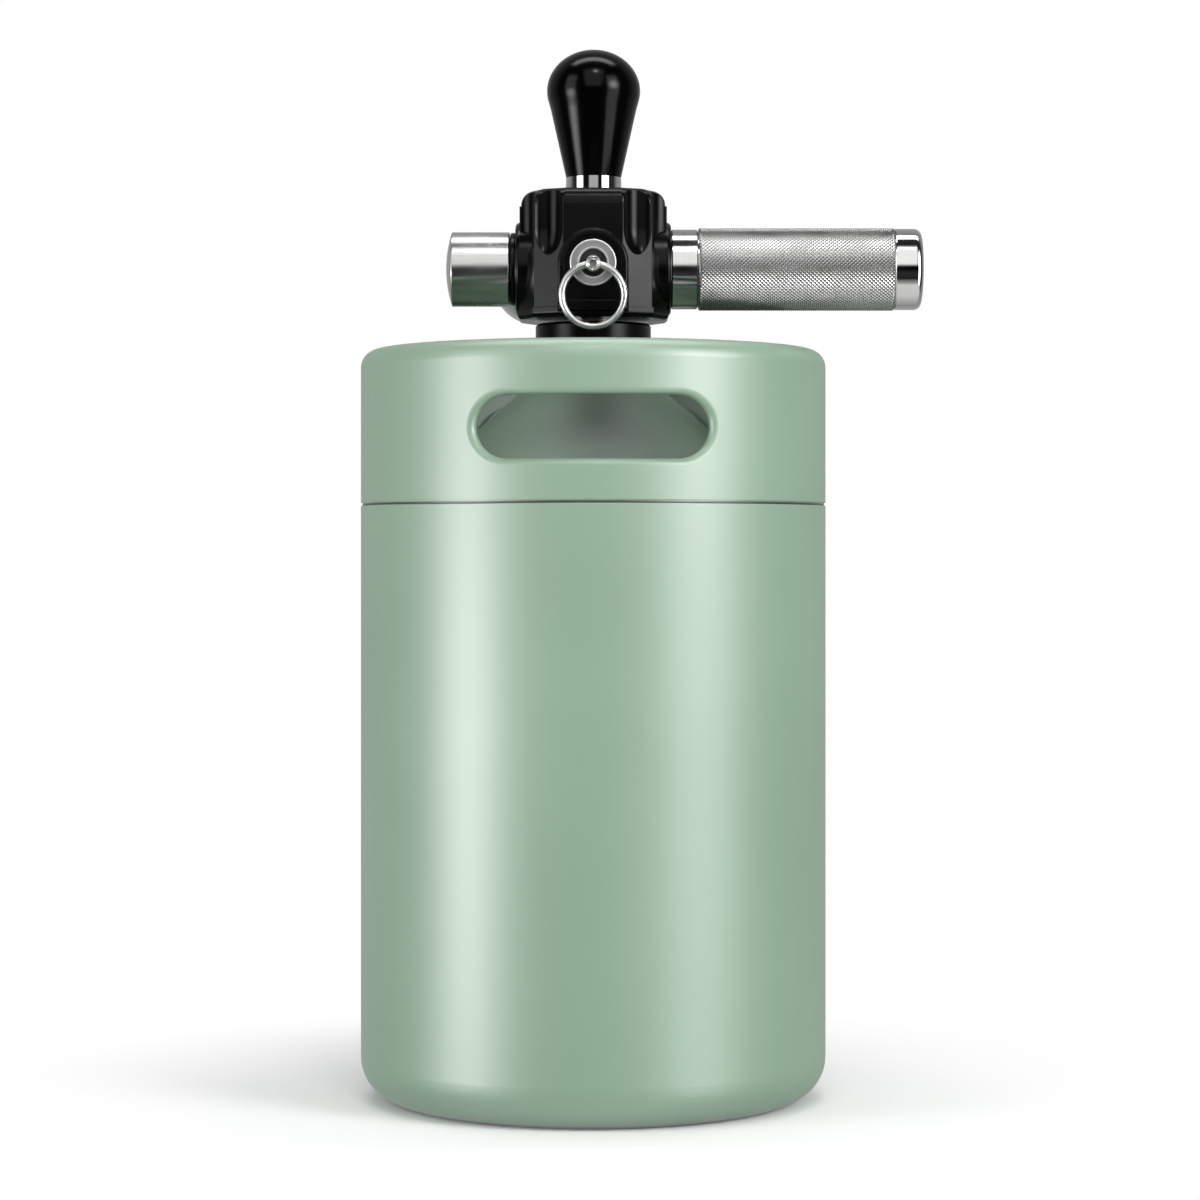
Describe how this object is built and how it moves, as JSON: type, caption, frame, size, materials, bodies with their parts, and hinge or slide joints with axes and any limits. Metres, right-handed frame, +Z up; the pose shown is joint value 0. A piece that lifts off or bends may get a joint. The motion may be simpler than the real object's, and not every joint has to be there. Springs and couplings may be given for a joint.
{
  "type": "mini keg beer dispenser",
  "caption": "Painted mini keg with a screw-on tap head: gas cartridge in a knurled sleeve, pressure knob, relief valve with pull ring, and a lever tap with spout and flow control.",
  "frame": {"origin": "on the floor at the keg's axis", "axes": "+Z up, -Y the front with the relief valve, +X the gas cartridge, -X the pressure knob, +Y the tap's spout"},
  "size_m": [0.199, 0.1955, 0.382],
  "materials": {
    "keg_paint": "satin powder coat",
    "neck_steel": "drawn",
    "black_metal": "satin gloss",
    "brushed_steel": "turned and brushed",
    "polished_steel": "polished",
    "grey_steel": "machined",
    "spring_steel": "drawn wire",
    "zinc_steel": "zinc plated",
    "brass": "turned",
    "seal_rubber": "matte",
    "seat_plastic": "moulded",
    "handle_black": "gloss"
  },
  "bodies": {
    "keg": {"vessel": "keg_paint", "top_chime": "keg_paint", "threaded_neck": "neck_steel"},
    "head": {"head_body": "black_metal", "tailpiece": "neck_steel", "neck_seal": "seal_rubber", "dip_tube": "neck_steel", "dip_tube_seal": "seal_rubber", "regulator_bonnet": "black_metal", "valve_seat": "seat_plastic", "inlet_adapter": "brushed_steel", "inlet_ring": "seal_rubber", "pierce_pin": "grey_steel", "pierce_seal": "seat_plastic", "relief_bush": "grey_steel", "relief_seat": "seat_plastic", "faucet_shank": "polished_steel", "shank_ring": "seal_rubber", "coupling_seal": "seal_rubber", "coupling_nut": "polished_steel", "faucet_body": "polished_steel", "ball_washer": "seat_plastic", "faucet_bonnet": "polished_steel", "faucet_spout": "polished_steel", "spout_ring": "seal_rubber"},
    "collar": {"coupling_collar": "black_metal"},
    "knob": {"regulator_knob": "brushed_steel", "regulator_spindle": "grey_steel", "knob_screw": "grey_steel"},
    "cup": {"spring_cup": "grey_steel", "regulator_spring": "spring_steel"},
    "piston": {"regulator_piston": "grey_steel", "piston_ring": "seal_rubber"},
    "cartridge": {"co2_cartridge": "zinc_steel"},
    "sleeve": {"cartridge_sleeve": "brushed_steel", "sleeve_end_cap": "polished_steel", "cap_ring": "seal_rubber", "cartridge_pad": "seal_rubber"},
    "relief": {"relief_stem": "polished_steel", "relief_poppet": "seat_plastic", "relief_spring": "spring_steel"},
    "ring": {"pull_ring": "polished_steel"},
    "lever": {"tap_lever": "grey_steel", "handle_ferrule": "polished_steel", "handle_insert": "brass", "handle_knob": "handle_black"},
    "shaft": {"valve_shaft": "grey_steel", "shaft_seat": "seat_plastic"},
    "flow": {"flow_plug": "grey_steel", "flow_ring": "seal_rubber", "flow_lever": "polished_steel", "flow_screw": "grey_steel"}
  },
  "joints": [
    {"name": "head_lift", "type": "slide", "parent": "keg", "child": "head", "axis": [0, 0, 1], "range_m": [0, 0.27]},
    {"name": "collar_turn", "type": "hinge", "parent": "head", "child": "collar", "pos_m": [0, 0, 0.265], "axis": [0, 0, 1], "continuous": true},
    {"name": "knob_turn", "type": "hinge", "parent": "head", "child": "knob", "pos_m": [-0.04, 0, 0.294], "axis": [1, 0, 0], "range_deg": [0, 1080]},
    {"name": "cup_slide", "type": "slide", "parent": "head", "child": "cup", "axis": [1, 0, 0], "range_m": [0, 0.00376], "deforming": ["regulator_spring"]},
    {"name": "piston_slide", "type": "slide", "parent": "head", "child": "piston", "axis": [1, 0, 0], "range_m": [0, 0.0008], "stiffness_N_per_m": 4000, "springref_m": -0.001},
    {"name": "cartridge_slide", "type": "slide", "parent": "head", "child": "cartridge", "axis": [1, 0, 0], "range_m": [0, 0.1]},
    {"name": "sleeve_turn", "type": "hinge", "parent": "cartridge", "child": "sleeve", "pos_m": [0.07, 0, 0.294], "axis": [1, 0, 0], "continuous": true},
    {"name": "relief_pull", "type": "slide", "parent": "head", "child": "relief", "axis": [0, -1, 0], "range_m": [0, 0.003], "stiffness_N_per_m": 2000, "springref_m": -0.002, "deforming": ["relief_spring"]},
    {"name": "ring_swing", "type": "hinge", "parent": "relief", "child": "ring", "pos_m": [0, -0.0329, 0.2932], "axis": [-1, 0, 0], "range_deg": [0, 175]},
    {"name": "lever_tilt", "type": "hinge", "parent": "head", "child": "lever", "pos_m": [0, 0.066, 0.308], "axis": [-1, 0, 0], "range_deg": [0, 32]},
    {"name": "shaft_slide", "type": "slide", "parent": "head", "child": "shaft", "axis": [0, -1, 0], "range_m": [0, 0.0075]},
    {"name": "flow_turn", "type": "hinge", "parent": "head", "child": "flow", "pos_m": [-0.02, 0.058, 0.294], "axis": [1, 0, 0], "range_deg": [0, 90]}
  ],
  "couplings": [
    {"joint": "cup_slide", "follows": "knob_turn", "m_per_rad": 0.00019894},
    {"joint": "shaft_slide", "follows": "lever_tilt", "m_per_rad": 0.01328}
  ]
}
